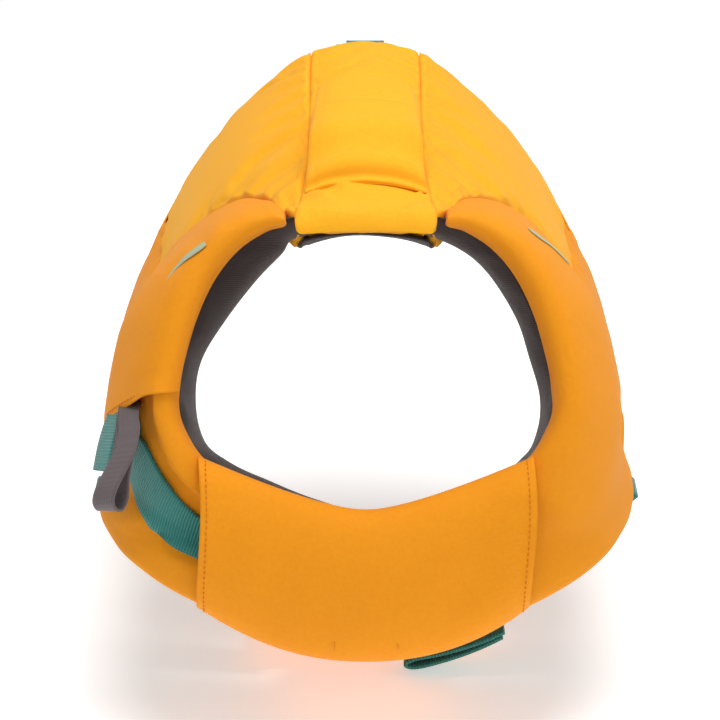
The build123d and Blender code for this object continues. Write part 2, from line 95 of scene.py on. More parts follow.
def body(angle, y, depth):
    """Point of the body's egg-shaped section: x = (W - d) sin a (1 - k cos a), z = level + (H - d) cos a.

    angle a is in degrees from the top, depth d is below the outer skin; k grows from neck to rear.
    At the neck cos a is drawn towards 1 near the top, so that the back's front edge is nearly straight.
    """
    angle, y, depth = np.broadcast_arrays(*(np.asarray(v, float) for v in (angle, y, depth)))
    c, s = np.cos(np.radians(angle)), np.sin(np.radians(angle))
    above = back_height - widest_level - neck_drop * share(y, body_rear, back_front) ** 2
    below = widest_level + 7 - 20 * share(y, belly_level_from, belly_front)
    fade = np.where(c >= 0, 1.0, (1.0 + c) ** 2)
    narrowing = 0.12 + 0.16 * share(y, back_front, narrow_from)
    x = (half_width - depth) * s * (1 - narrowing * c * fade)
    flatter = 0.75 * (1 - smooth(y, back_front, -70)) * (1 - smooth(np.abs(angle), 18, 34))
    height = c + (1 - c) * flatter
    z = widest_level + (np.where(c >= 0, above, below) - depth) * height + 5.0 * flatter
    return np.stack([x, y, z], -1)


def ring(p, q, d):
    """Point by its place (p, q) in the neck plane and its depth d behind it."""
    p, q, d = np.broadcast_arrays(*(np.asarray(v, float) for v in (p, q, d)))
    return neck_centre + p[..., None] * across + q[..., None] * up_ring + d[..., None] * deep


def ripple(u, v, size, seed):
    """Smooth noise between about -1 and 1: a sum of sine waves of fixed random directions."""
    random = np.random.RandomState(seed)
    total = 0.0
    for _ in range(7):
        angle, phase, stretch = random.uniform(0, pi), random.uniform(0, 2 * pi), random.uniform(0.6, 1.5)
        total = total + np.sin((u * cos(angle) + v * sin(angle)) * 2 * pi / (size * stretch) + phase)
    return total / 4.0


# ---------------------------------------------------------------- meshes
def mesh_piece(name, points, faces, uv=None, body_name="root"):
    """A mesh object from points in millimetres, its faces turned outwards, riding on a body.

    End caps with many corners stay flat, so that the shading of the walls doesn't bend at them.
    """
    mesh = bpy.data.meshes.new(name)
    mesh.from_pydata((np.asarray(points).reshape(-1, 3) * MM).tolist(), [], faces)
    mesh.update()
    mesh.shade_smooth()
    if uv is not None:
        layer = mesh.uv_layers.new(name="UVMap")
        corners = np.zeros(len(mesh.loops), np.int32)
        mesh.loops.foreach_get("vertex_index", corners)
        layer.data.foreach_set("uv", (np.asarray(uv).reshape(-1, 2)[corners] * MM).ravel())
    obj = bpy.data.objects.new(name, mesh)
    bpy.context.scene.collection.objects.link(obj)
    turn_outwards(mesh)
    mesh.polygons.foreach_set("use_smooth", [len(f) < 5 for f in faces])
    if body_name:
        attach(obj, body_name)
    return obj


def turn_outwards(mesh):
    """Makes the faces of a closed mesh point away from its inside."""
    bm = bmesh.new()
    bm.from_mesh(mesh)
    bmesh.ops.recalc_face_normals(bm, faces=bm.faces)
    bm.to_mesh(mesh)
    bm.free()
    mesh.update()


def grid_faces(rows, columns, wrap_rows=False, wrap_columns=False, first=0):
    """Quads of a grid of points numbered row by row, from a first number."""
    faces = []
    for i in range(rows if wrap_rows else rows - 1):
        for j in range(columns if wrap_columns else columns - 1):
            a, b = i * columns + j, i * columns + (j + 1) % columns
            c, d = ((i + 1) % rows) * columns + (j + 1) % columns, ((i + 1) % rows) * columns + j
            faces.append((first + a, first + b, first + c, first + d))
    return faces


def arc_lengths(points, axis):
    """Running length along one axis of a grid of points, for a map without stretching."""
    steps = np.linalg.norm(np.diff(points, axis=axis), axis=-1)
    total = np.cumsum(steps, axis=axis)
    pad = [(1, 0) if i == axis else (0, 0) for i in range(2)]
    return np.pad(total, pad)


def slab_piece(name, outer, inner, body_name="root"):
    """A closed piece between two grids of points with the same borders."""
    rows, columns = outer.shape[:2]
    count = rows * columns
    faces = grid_faces(rows, columns) + [f[::-1] for f in grid_faces(rows, columns, first=count)]
    border = [j for j in range(columns)]
    border += [i * columns + columns - 1 for i in range(1, rows)]
    border += [(rows - 1) * columns + j for j in range(columns - 2, -1, -1)]
    border += [i * columns for i in range(rows - 2, 0, -1)]
    for a, b in zip(border, border[1:] + border[:1]):
        faces.append((b, a, count + a, count + b))
    uv = np.stack([arc_lengths(outer, 0), arc_lengths(outer, 1)], -1)
    points = np.concatenate([outer.reshape(-1, 3), inner.reshape(-1, 3)])
    return mesh_piece(name, points, faces, np.concatenate([uv.reshape(-1, 2)] * 2), body_name)


def tube_piece(name, sections, body_name="root", closed=False):
    """A closed tube through a list of section loops, its ends closed by a fan."""
    sections = np.asarray(sections)
    rows, columns = sections.shape[:2]
    points = sections.reshape(-1, 3)
    faces = grid_faces(rows, columns, wrap_rows=closed, wrap_columns=True)
    loop = np.concatenate([sections, sections[:, :1]], axis=1)
    uv = np.stack([arc_lengths(loop, 0)[:, :-1], arc_lengths(loop, 1)[:, :-1]], -1).reshape(-1, 2)
    if not closed:
        for row in (0, rows - 1):
            faces.append(tuple(row * columns + j for j in range(columns)))
    return mesh_piece(name, points, faces, uv, body_name)


def spline(points, count):
    """A smooth line through a few points: Catmull-Rom, evenly divided."""
    points = np.asarray(points, float)
    padded = np.concatenate([[2 * points[0] - points[1]], points, [2 * points[-1] - points[-2]]])
    return catmull(padded, np.linspace(0, len(points) - 1, count))


def catmull(padded, places):
    """Catmull-Rom values at fractional places; the list has one extra point at each end."""
    places = np.asarray(places, float)
    i = np.clip(places.astype(int), 0, len(padded) - 4)
    t = (places - i).reshape(places.shape + (1,) * (padded.ndim - 1))
    a, b, c, d = (padded[i + k] for k in range(4))
    return b + 0.5 * t * (c - a + t * (2 * a - 5 * b + 4 * c - d + t * (3 * (b - c) + d - a)))


# ---------------------------------------------------------------- materials
def linear(code):
    """Linear colour of an sRGB hex code."""
    parts = [int(code[i : i + 2], 16) / 255 for i in (1, 3, 5)]
    return [v / 12.92 if v <= 0.04045 else ((v + 0.055) / 1.055) ** 2.4 for v in parts] + [1.0]


def node(tree, kind, values=None, **settings):
    """Adds a node; values go to its inputs by name or number, and may be other nodes' outputs."""
    made = tree.nodes.new(kind)
    for key, value in settings.items():
        setattr(made, key, value)
    for key, value in (values or {}).items():
        if isinstance(value, bpy.types.NodeSocket):
            tree.links.new(value, made.inputs[key])
        else:
            made.inputs[key].default_value = value
    return made


def new_material(name, colour, roughness, **extra):
    """A material with its node tree and shader; extra names are the shader's inputs in small letters."""
    made = bpy.data.materials.new(name)
    made.use_nodes = True
    made.diffuse_color = linear(colour)
    shader = made.node_tree.nodes["Principled BSDF"]
    shader.inputs["Base Color"].default_value = linear(colour)
    shader.inputs["Roughness"].default_value = roughness
    for key, value in extra.items():
        shader.inputs[key.replace("_", " ").title().replace("Ior", "IOR")].default_value = value
    return made, made.node_tree, shader


def wave(tree, socket, period):
    """A sine wave of a length in metres."""
    turned = node(tree, "ShaderNodeMath", {0: socket, 1: 2 * pi / period}, operation="MULTIPLY")
    return node(tree, "ShaderNodeMath", {0: turned.outputs[0]}, operation="SINE").outputs[0]


def uv_parts(tree):
    """The two lengths of the piece's own map, and the coordinates they come from."""
    place = node(tree, "ShaderNodeTexCoord")
    return node(tree, "ShaderNodeSeparateXYZ", {0: place.outputs["UV"]}), place


def woven(name, colour, shade, thread=0.0009, relief=0.35, sheen=0.05, roughness=0.72):
    """Plain-woven nylon: crossing threads as bump, slightly uneven colour, soft sheen."""
    made, tree, shader = new_material(name, colour, roughness, sheen_weight=sheen, specular_ior_level=0.2)
    parts, place = uv_parts(tree)
    here = place.outputs["Object"]
    warp, weft = wave(tree, parts.outputs[0], thread), wave(tree, parts.outputs[1], thread)
    weave = node(tree, "ShaderNodeMath", {0: warp, 1: weft}, operation="MULTIPLY")
    slub = node(tree, "ShaderNodeTexNoise", {"Vector": here, "Scale": 420.0, "Detail": 3.0})
    speckle = node(tree, "ShaderNodeCombineColor", dict.fromkeys((0, 1, 2), slub.outputs[0]))
    height = node(tree, "ShaderNodeMath", {0: weave.outputs[0], 1: slub.outputs[0]}, operation="ADD")
    relief_values = {"Height": height.outputs[0], "Strength": relief, "Distance": 0.00025}
    bump = node(tree, "ShaderNodeBump", relief_values)
    crease = node(tree, "ShaderNodeTexNoise", {"Vector": here, "Scale": 26.0, "Detail": 5.0})
    soft = node(
        tree,
        "ShaderNodeBump",
        {"Height": crease.outputs[0], "Strength": 0.25, "Distance": 0.0035, "Normal": bump.outputs[0]},
    )
    tree.links.new(soft.outputs[0], shader.inputs["Normal"])
    patch = node(tree, "ShaderNodeTexNoise", {"Vector": here, "Scale": 9.0, "Detail": 4.0})
    colours = {0: patch.outputs[0], 6: linear(shade), 7: linear(colour)}
    mix = node(tree, "ShaderNodeMix", colours, data_type="RGBA")
    thread_mix = node(
        tree,
        "ShaderNodeMix",
        {0: 0.10, 6: mix.outputs[2], 7: speckle.outputs[0]},
        data_type="RGBA",
        blend_type="OVERLAY",
    )
    tree.links.new(thread_mix.outputs[2], shader.inputs["Base Color"])
    return made


def ribbed(name, colour, shade, rib=0.0016):
    """Polyester webbing: ribs across its width, fine threads along it, and grooves darkened by painted
    shade.
    """
    made, tree, shader = new_material(name, colour, 0.6, sheen_weight=0.3, sheen_roughness=0.4)
    parts, _ = uv_parts(tree)
    ribs = wave(tree, parts.outputs[0], rib)
    threads = wave(tree, parts.outputs[1], 0.0011)
    fine = node(tree, "ShaderNodeMath", {0: threads, 1: 0.3}, operation="MULTIPLY")
    height = node(tree, "ShaderNodeMath", {0: ribs, 1: fine.outputs[0]}, operation="ADD")
    relief_values = {"Height": height.outputs[0], "Strength": 0.7, "Distance": 0.0004}
    bump = node(tree, "ShaderNodeBump", relief_values)
    tree.links.new(bump.outputs[0], shader.inputs["Normal"])
    # Painted shade: the colour runs towards the darker shade colour in the rib grooves, where the bump
    # dips
    painted_groove_shade = node(tree, "ShaderNodeMapRange", {0: ribs, 1: -1.0, 2: 1.0, 3: 0.25, 4: 1.0})
    colours = {0: painted_groove_shade.outputs[0], 6: linear(shade), 7: linear(colour)}
    mix = node(tree, "ShaderNodeMix", colours, data_type="RGBA")
    tree.links.new(mix.outputs[2], shader.inputs["Base Color"])
    return made


def moulded(name, colour):
    """Moulded acetal: fine spark-eroded grain."""
    made, tree, shader = new_material(name, colour, 0.42)
    here = node(tree, "ShaderNodeTexCoord").outputs["Object"]
    grain = node(tree, "ShaderNodeTexNoise", {"Vector": here, "Scale": 1800.0, "Detail": 2.0})
    relief_values = {"Height": grain.outputs[0], "Strength": 0.15, "Distance": 0.0001}
    bump = node(tree, "ShaderNodeBump", relief_values)
    tree.links.new(bump.outputs[0], shader.inputs["Normal"])
    rough = node(tree, "ShaderNodeMapRange", {0: grain.outputs[0], 3: 0.36, 4: 0.52})
    tree.links.new(rough.outputs[0], shader.inputs["Roughness"])
    return made


def anodised(name, colour):
    """Anodised aluminium wire: an even satin metal with fine scuffs in its gloss."""
    made, tree, shader = new_material(name, colour, 0.3, metallic=1.0)
    here = node(tree, "ShaderNodeTexCoord").outputs["Object"]
    scuff = node(tree, "ShaderNodeTexNoise", {"Vector": here, "Scale": 300.0, "Detail": 6.0})
    rough = node(tree, "ShaderNodeMapRange", {0: scuff.outputs[0], 3: 0.22, 4: 0.45})
    tree.links.new(rough.outputs[0], shader.inputs["Roughness"])
    return made


# Dyed nylon canvas: matt, with slow changes of colour and a weave of 0.9 mm steps. Its real
# threads are about half of that, too fine to show.
yellow = woven("yellow_shell_nylon", "#fab21a", "#f5aa16")
orange = woven("orange_shell_nylon", "#f0980e", "#ea910c")
# Brushed polyester lining: near black, coarser and softer, with a stronger sheen
lining = woven("charcoal_lining", "#2b2122", "#231b1c", thread=0.0012, relief=0.5, sheen=0.35)
# Woven polyester webbing: ribs 1.6 mm apart, their grooves darkened with painted shade; the pull loop's
# tape is finer
teal = ribbed("teal_webbing", "#2f8f86", "#1b6a63")
grey = ribbed("warm_grey_tape", "#6f6062", "#655759", rib=0.0007)
# Twisted polyester sewing thread, a little darker than the cloth it holds
thread_orange = woven("orange_thread", "#d98208", "#c97506", thread=0.0004)
# Glass-bead reflective tape: pale grey green and smoother than cloth
silver = woven(
    "pale_reflective_tape", "#b7c3a2", "#a5b595", thread=0.0006, sheen=0.0, roughness=0.35
)
# Moulded acetal buckles and adjusters: black with a fine grain that dulls the gloss
plastic = moulded("black_acetal", "#151517")
# Anodised aluminium leash ring
metal = anodised("anodised_wire", "#9a9da1")


def dress(obj, made):
    """Gives a piece its material and the slot whose finish it takes."""
    obj.data.materials.clear()
    obj.data.materials.append(made)
    return obj


# ---------------------------------------------------------------- panels of the body
def edge_round(distance, radius):
    """Height of a quarter-round edge: 0 at the edge, 1 from its radius inwards."""
    return np.sqrt(1 - (1 - np.clip(distance / radius, 0, 1)) ** 2)


def spine_angle(y):
    """Half of the spine panel's width, in degrees from the top."""
    return 17.5 + 0.6 * share(y, back_front, body_rear)


def seam_y(angle):
    """y of the collar's rear seam at an angle round the body."""
    angles, places = zip(
        (18, -103), (19.5, -100), (21, -90), (28, -45), (38, -6),
        (50, 26), (62, 36), (80, 30), (97, -4), (112, -30),
    )
    return np.interp(np.abs(angle), angles, places)


def underside(angle, y):
    """Depth of the padding's inner face: thinner towards the neck, near the spine."""
    near_neck = 1 - smooth(y, back_front - 3, -60)
    return panel_depth - 14 * near_neck * (1 - smooth(np.abs(angle), 24, 34))


cloth_frames = 20
cloth_pressure = 4.0
cloth_oversize = 0.03
cloth_shift = 2.5                       # the most that a point may move, in mm


def plump(obj, rows, columns):
    """Lets a panel's cloth settle over its padding: pressure inside, seams held, cloth cut oversize.

    A shift of length s is cut to m tanh(s / m), m the most, so that the panel stays within its seams.
    """
    index = np.arange(rows * columns).reshape(rows, columns)
    border = np.ones_like(index, bool)
    border[2:-2, 2:-2] = False
    held = index[border]
    pins = obj.vertex_groups.new(name="seams")
    pins.add(np.concatenate([held, held + rows * columns]).tolist(), 1.0, "REPLACE")
    cloth = obj.modifiers.new("cloth", "CLOTH")
    cloth.settings.vertex_group_mass = "seams"
    cloth.settings.use_pressure = True
    cloth.settings.uniform_pressure_force = cloth_pressure
    cloth.settings.effector_weights.gravity = 0.0
    cloth.settings.shrink_min = -cloth_oversize
    cloth.settings.quality = 4
    cloth.point_cache.frame_start, cloth.point_cache.frame_end = 1, cloth_frames
    scene = bpy.context.scene
    for step in range(1, cloth_frames + 1):
        scene.frame_set(step)
    settled = obj.evaluated_get(bpy.context.evaluated_depsgraph_get())
    before, after = np.zeros(len(obj.data.vertices) * 3), np.zeros(len(obj.data.vertices) * 3)
    obj.data.vertices.foreach_get("co", before)
    settled.data.vertices.foreach_get("co", after)
    shift = (after - before).reshape(-1, 3)
    size = np.linalg.norm(shift, axis=-1, keepdims=True)
    limit = cloth_shift * MM
    shift = shift * limit * np.tanh(size / limit) / np.maximum(size, 1e-9)
    obj.modifiers.remove(cloth)
    obj.data.vertices.foreach_set("co", (before.reshape(-1, 3) + shift).ravel())
    obj.data.update()
    scene.frame_set(1)


def body_panel(name, start, end, front, rear, material, replaced, seed, depth=panel_depth):
    """A padded panel of the body tube between two side angles and between front and rear y.

    Its depth below the outer skin is a quarter-round of 6 mm at every edge, less a crown
    sin(pi u)^0.7 sin(pi v)^0.5 and puckers that fade over 14 mm from the seams.
    """
    rows, columns = 96, 60
    v = np.linspace(0, 1, rows)[:, None]
    u = np.linspace(0, 1, columns)[None, :]
    middle = start(0.0) + (end(0.0) - start(0.0)) * u
    y = front(middle) + (rear - front(middle)) * v
    angle = start(y) + (end(y) - start(y)) * u
    width = np.radians(np.abs(end(y) - start(y))) * half_width
    from_side = np.minimum(u, 1 - u) * width
    from_front, from_rear = v * (rear - front(middle)), (1 - v) * (rear - front(middle))
    near = np.minimum(from_side, np.minimum(from_front, from_rear))
    crown = 2.0 * np.sin(pi * u) ** 0.7 * np.sin(pi * np.clip(v, 0.02, 0.98)) ** 0.5
    girth = angle * mm_per_degree
    pucker = 0.8 * np.exp(-near / 14) * ripple(y, girth, 21, seed) + 0.6 * ripple(y, girth, 75, seed + 1)
    rounding = edge_round(from_side, 4.5) * edge_round(from_rear, 6)
    if name == "spine_panel":
        nose = edge_round(from_front + 0.02, 15)
        bottom = underside(angle, y) - 2 * (1 - edge_round(from_side, 4)) - 1.0 * (1 - nose)
        shoulders = 4.0 * smooth(y, 50, 125) * (0.15 + 0.85 * (2 * u - 1) ** 2)
        swell = crown * (1 - 0.5 * smooth(y, 90, 150)) + pucker + shoulders
        top = 0.9 * (1 - rounding) + 8.6 * (1 - nose) - swell * (0.25 + 0.75 * rounding) * nose
    else:
        rounding = rounding * edge_round(from_front, 4)
        bottom = (underside(angle, y) if depth > 21 else depth) - 2.0 * (1 - rounding)
        near_spine = 4.0 * smooth(y, 50, 125) * (1 - smooth(np.abs(angle), 17, 34)) * (depth > 21)
        top = 1.3 * (1 - rounding) - (crown + pucker) * rounding - near_spine
    top = np.minimum(top, bottom - 0.6)
    outer, inner = body(angle, y, top), body(angle, y, bottom)
    outer[..., 2] = np.maximum(outer[..., 2], 0.2)
    inner[..., 2] = np.maximum(inner[..., 2], outer[..., 2] if depth < 21 else -99)
    made = slab_piece(name, outer, inner)
    plump(made, rows, columns)
    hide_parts(*replaced)
    return dress(made, material)


def constant(value):
    """A function of y that is the same everywhere."""
    return lambda y: value + 0 * y


body_panel(
    "spine_panel", lambda y: -spine_angle(y), spine_angle, constant(back_front - 3), body_rear,
    yellow, ("spine_cover", "spine_foam"), 3,
)
for side, word in ((1, "left"), (-1, "right")):
    body_panel(
        f"{word}_back_panel", lambda y, k=side: k * (spine_angle(y) - 0.1),
        constant(side * back_seam_angle), seam_y,
        body_rear, yellow, (f"{word}_back_cover", f"{word}_back_foam"), 11 + side,
    )
    body_panel(
        f"{word}_side_panel", constant(side * (back_seam_angle - 0.1)),
        constant(side * side_edge_angle), seam_y,
        body_rear, orange, (f"{word}_side_cover", f"{word}_side_foam"), 21 + side,
    )
body_panel(
    "belly_panel", constant(belly_edge_angle), constant(360 - belly_edge_angle),
    constant(belly_front), belly_rear,
    orange, ("belly_cover", "belly_foam"), 31, depth=belly_depth,
)


cloth_thickness = 1.2


def lining_sheet(name, start, end, front, rear, depth, seed, replaced):
    """The dark cloth under the padding, one sheet of even thickness with slow ripples."""
    v, u = np.linspace(0, 1, 70)[:, None], np.linspace(0, 1, 90)[None, :]
    angle = start + (end - start) * u
    y = front(angle) + (rear - front(angle)) * v
    wobble = 0.5 + 0.5 * ripple(y, angle * mm_per_degree, 60, seed)
    gap = depth - panel_depth + underside(angle, y) if depth > 21 else depth
    upper, lower = gap + wobble, gap + cloth_thickness + wobble
    made = slab_piece(name, body(angle, y, upper), body(angle, y, lower))
    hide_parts(replaced)
    return dress(made, lining)


lining_sheet(
    "body_lining_sheet", 2 - side_edge_angle, side_edge_angle - 2, lambda a: seam_y(a) + 12,
    body_rear - 1, panel_depth + 1.6, 41, "body_lining",
)
lining_sheet(
    "belly_lining_sheet", belly_edge_angle + 1, 359 - belly_edge_angle, constant(belly_front + 1),
    belly_rear - 1, belly_depth + 0.4, 43, "belly_lining",
)

# ---------------------------------------------------------------- the collar
# Stations of the left half, from the top corner to the throat: the lip (p, q) in the neck plane,
# the lip's outward direction in degrees, the outer edge as a body point or a neck-plane point, and
# the padding's thickness there
stations = [
    ((40, 63), 80, body(20.5, -96, 4), 7),
    ((50, 59.5), 62, body(28, -46, 7), 14),
    ((62, 50), 42, body(38, -8, 10), 21),
    ((73, 34), 30, body(50, 24, 13), 26),
    ((82, 12), 17, body(62, 36, 13), 28),
    ((88.5, -14), 3, body(80, 30, 13), 28),
    ((88.5, -34), -9, body(97, -4, 13), 28),
    ((81, -51), -42, ring(133, -68, 84), 28),
    ((66, -62.5), -66, ring(121, -99, 44), 28),
    ((40, -73), -73, ring(84, -126, 27), 28),
    ((8, -82), -84, ring(16, -150, 21), 28),
]
leans = np.radians([lean for _, lean, _, _ in stations])
lips = np.array([lip for lip, _, _, _ in stations], float)
thickness_at = np.array([thickness for _, _, _, thickness in stations], float)
half_thick = thickness_at / 2
starts = ring(lips[:, 0] + half_thick * np.cos(leans), lips[:, 1] + half_thick * np.sin(leans), half_thick)
ends = np.array([end for _, _, end, _ in stations])
runs = np.sin(leans)[:, None] * across - np.cos(leans)[:, None] * up_ring
last_place = len(stations) - 1


def extend(points):
    """Points with one more at each end, in line with the last two, as catmull() needs."""
    return np.concatenate([[2 * points[0] - points[1]], points, [2 * points[-1] - points[-2]]])


collar_starts, collar_ends, collar_runs = extend(starts), extend(ends), extend(runs)
collar_lips, collar_thickness = extend(lips), extend(thickness_at[:, None])


def collar_surface(place, turn, grow=0.0, side=1, seed=5, trench_depth=7.0):
    """Points of the collar: a slab |x/h|^3.4 + |y/t|^2.3 = 1 round a line from lip to outer edge.

    place runs along the stations and turn round the section, 0 at the outer edge, pi at the lip; the
    outer edge is squarer than the lip, with powers 7 and 5. A bulge lifts the skin beside the lip. The
    -X side has a flat trench for the neck strap, about 20 to 44 mm from the lip as seen along the
    neck's axis, which leaves a soft roll along the lip.
    """
    place, turn = np.broadcast_arrays(np.asarray(place, float), np.asarray(turn, float))
    a, b, run = (catmull(v, place) for v in (collar_starts, collar_ends, collar_runs))
    thick = catmull(collar_thickness, place)[..., 0]
    length = np.linalg.norm(b - a, axis=-1)
    along = (b - a) / length[..., None]
    run = run - along * np.sum(run * along, -1, keepdims=True)
    run /= np.linalg.norm(run, axis=-1, keepdims=True)
    out = np.cross(run, along)
    c, s = np.cos(turn), np.sin(turn)
    pinch = 1 - 0.3 * (1 - edge_round(place, 0.3))
    power = np.where(c > 0, 2 / 7.0, 2 / 3.4)
    reach = length / 2 + thick / 4 + grow
    x = (length - thick / 2) / 2 + reach * np.sign(c) * np.abs(c) ** power
    squeeze = 1 - 0.1 * smooth(place, 7.0, 8.0)
    y = (thick / 2 * pinch * squeeze + grow) * np.sign(s) * np.abs(s) ** np.where(c > 0, 2 / 5, 2 / 2.3)
    y = y * (1 + 0.10 * np.cos(pi * np.clip((x - length / 2) / (length + thick), -0.5, 0.5)))
    outside = np.clip(s, 0, 1)
    near = np.minimum(np.abs(x + thick / 2), np.abs(length - x))
    fold = ripple(place * 34, x, 30, seed) * (0.35 + 0.65 * np.exp(-near / 18))
    y = y + outside * (0.9 * fold + 0.7 * ripple(place * 34, x, 90, seed + 1))
    bulge = smooth(place, 2.6, 4.6) * (1 - smooth(place, 7.2, 8.4)) * np.exp(-(((x - 26) / 36) ** 2))
    y = y + 9.5 * outside * bulge
    points = a + x[..., None] * along + y[..., None] * out
    if side < 0:
        local = points - neck_centre
        seen = np.stack([local @ across, local @ up_ring], -1) - catmull(collar_lips, place)
        away = np.linalg.norm(seen, axis=-1)
        window = smooth(place, 4.6, 5.4) * (1 - smooth(place, 9.0, 9.5)) * smooth(s, -0.5, -0.1)
        wide = 1 + 0.6 * (1 - smooth(place, 6.0, 7.4))
        trench = trench_depth * window * smooth(away, 17, 22) * (1 - smooth(away, 40 * wide, 52 * wide))
        sunk = 0.8 * out - 0.6 * deep * (1 - smooth(place, 6.6, 7.6))[..., None]
        points = points - trench[..., None] * sunk
    return points * np.array([side, 1.0, 1.0])


around = np.linspace(0, 2 * pi, 84, endpoint=False)
for side, word in ((1, "left"), (-1, "right")):
    along_collar = np.linspace(0, last_place, 210)[:, None]
    skin = collar_surface(along_collar, around[None, :], side=side, seed=5 + side)
    made = tube_piece(f"{word}_neck_panel", skin)
    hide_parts(f"{word}_neck_cover", f"{word}_neck_foam")
    dress(made, orange)


def samples(grid):
    """Points of a grid of a surface with their normals, as two flat lists."""
    normal = np.cross(np.gradient(grid, axis=0), np.gradient(grid, axis=1))
    normal /= np.maximum(np.linalg.norm(normal, axis=-1, keepdims=True), 1e-9)
    return grid.reshape(-1, 3), normal.reshape(-1, 3)


# Points and outward normals of each side's outer skin, on which straps and trims are laid
fine_places = np.linspace(0.4, last_place - 0.2, 280)[:, None]
fine_turns = np.linspace(-0.35, pi + 0.5, 150)[None, :]
collar_skin = {}
for side in (1, -1):
    grid = collar_surface(fine_places, fine_turns, side=side, seed=5 + side)
    points, normals = samples(grid)
    collar_skin[side] = (points, normals * side * np.sign(np.median(normals[:, 0]) or 1))


def seen_at(surface, p, q):
    """Point and normal of a surface where a line along the depth direction first meets it."""
    points, normals = surface
    front = normals @ deep < -0.05
    points, normals = points[front], normals[front]
    local = points - neck_centre
    places = np.stack([local @ across, local @ up_ring], -1)
    target = np.stack([np.ravel(p), np.ravel(q)], -1)
    i = np.argmin(np.sum((target[:, None] - places[None]) ** 2, -1), 1)
    return points[i], normals[i]


def settle(surface, points, lift):
    """Points moved to a height above the nearest part of a surface, measured along its normal."""
    at, normals = surface
    flat = points.reshape(-1, 3)
    i = np.concatenate([
        np.argmin(np.sum((part[:, None] - at[None]) ** 2, -1), 1) for part in np.array_split(flat, 12)
    ])
    height = np.sum((flat - at[i]) * normals[i], -1, keepdims=True)
    lifts = np.broadcast_to(lift, points.shape[:-1]).reshape(-1, 1)
    moved = flat - height * normals[i] + lifts * normals[i]
    return moved.reshape(points.shape)


def evened(points, rounds=3):
    """Points averaged with their neighbours along the first axis, the ends kept."""
    for _ in range(rounds):
        middle = (points[:-2] + 2 * points[1:-1] + points[2:]) / 4
        points = np.concatenate([points[:1], middle, points[-1:]])
    return points


def laid_strip(name, surface, path, width, lift, thickness, rows=80, body_name="root"):
    """A strip whose middle line goes through (p, q) points and whose width follows the surface."""
    line = spline(path, rows)
    middle, normals = seen_at(surface, line[:, 0], line[:, 1])
    middle, normals = evened(middle, 8), evened(normals, 8)
    ahead = np.gradient(middle, axis=0)
    sideways = np.cross(ahead, normals)
    sideways /= np.linalg.norm(sideways, axis=-1, keepdims=True)
    columns = 15
    offset = np.linspace(-0.5, 0.5, columns)[None, :, None] * np.broadcast_to(width, rows)[:, None, None]
    flat = middle[:, None] + offset * sideways[:, None]
    under = evened(settle(surface, flat, np.broadcast_to(lift, rows)[:, None]), 4)
    over = evened(settle(surface, flat, np.broadcast_to(lift, rows)[:, None] + thickness), 4)
    return slab_piece(name, over, under, body_name)


# ---------------------------------------------------------------- sleeve, flap and neck strap
sleeve_end = 84.0


def sleeve_surface(p, turn, grow=0.0):
    """Points of the sleeve: an upright oval |v/h|^2.5 + |d/t|^2.5 = 1 at each place p across the throat.

    Its upper edge follows the neck's lower edge and its lower edge the collar's outline.
    """
    p, turn = np.broadcast_arrays(np.asarray(p, float), np.asarray(turn, float))
    top = -81.5 + 27.5 * (np.sqrt(p**2 + 144) / 81) ** 1.3
    bottom = -157 + 33 * (np.abs(p) / 90.5) ** 2.2
    c, s = np.cos(turn), np.sin(turn)
    half = (top - bottom) / 2 + grow
    q = (top + bottom) / 2 + half * np.sign(c) * np.abs(c) ** 0.8
    d = 17 - 0.16 * (q + 115) + (17.5 + grow) * np.sign(s) * np.abs(s) ** 0.8
    across_folds = ripple(p * 1.1 - q * 0.8, q * 0.25 + p * 0.2, 34, 8)
    fold = 1.3 * across_folds + 0.7 * ripple(p, q, 24, 9) * np.exp(-(sleeve_end - np.abs(p)) / 16)
    d = d + np.clip(-s, 0, 1) * (-fold - 2.2 * np.sin(pi * np.clip((q - bottom) / (top - bottom), 0, 1)))
    return ring(p + 1.5 * np.sin(q / 17) * (np.abs(p) / sleeve_end) ** 6, q, d)


run_out = np.linspace(-sleeve_end, sleeve_end, 120)[:, None]
outer_part = sleeve_surface(run_out, around[None, :])
inner_part = sleeve_surface(run_out[::-1], around[None, :], grow=-2.2)
both_faces = np.concatenate([outer_part, inner_part])
sleeve = tube_piece("neck_sleeve_cloth", both_faces, "neck_sleeve", closed=True)
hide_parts("neck_sleeve")
dress(sleeve, orange)


def stitches(name, points, normals, material, body_name="root", step=3.0, length=2.1, radius=0.32):
    """A run of sewing stitches: pointed six-sided grains laid end to end along a line on a cloth."""
    distance = np.concatenate([[0], np.cumsum(np.linalg.norm(np.diff(points, axis=0), axis=-1))])
    centres = np.arange(step, distance[-1] - step / 2, step)
    at, ahead, off = (
        np.stack([np.interp(centres, distance, values[:, k]) for k in range(3)], -1)
        for values in (points, np.gradient(points, axis=0), normals)
    )
    ahead /= np.linalg.norm(ahead, axis=-1, keepdims=True)
    off /= np.linalg.norm(off, axis=-1, keepdims=True)
    beside = np.cross(ahead, off)
    turn = np.arange(6) * pi / 3
    rings = []
    for along, wide in ((-0.3, 1.0), (0.3, 1.0)):
        circle = np.cos(turn)[None, :, None] * beside[:, None] + np.sin(turn)[None, :, None] * off[:, None]
        rings.append((at + along * length * ahead)[:, None] + wide * radius * circle)
    tips = [(at + k * 0.5 * length * ahead - 0.3 * off)[:, None] for k in (-1, 1)]
    grains = np.concatenate([*rings, *tips], axis=1)
    faces = []
    for g in range(len(centres)):
        f = 14 * g
        for k in range(6):
            j = (k + 1) % 6
            faces.append((f + k, f + j, f + 6 + j, f + 6 + k))
            faces += [(f + j, f + k, f + 12), (f + 6 + k, f + 6 + j, f + 13)]
    return dress(mesh_piece(name, grains, faces, None, body_name), material)


def line_normals(grid, row):
    """Normals of one row of a grid of points, from its neighbours."""
    normal = np.cross(np.gradient(grid, axis=0), np.gradient(grid, axis=1))[row]
    return normal / np.linalg.norm(normal, axis=-1, keepdims=True)


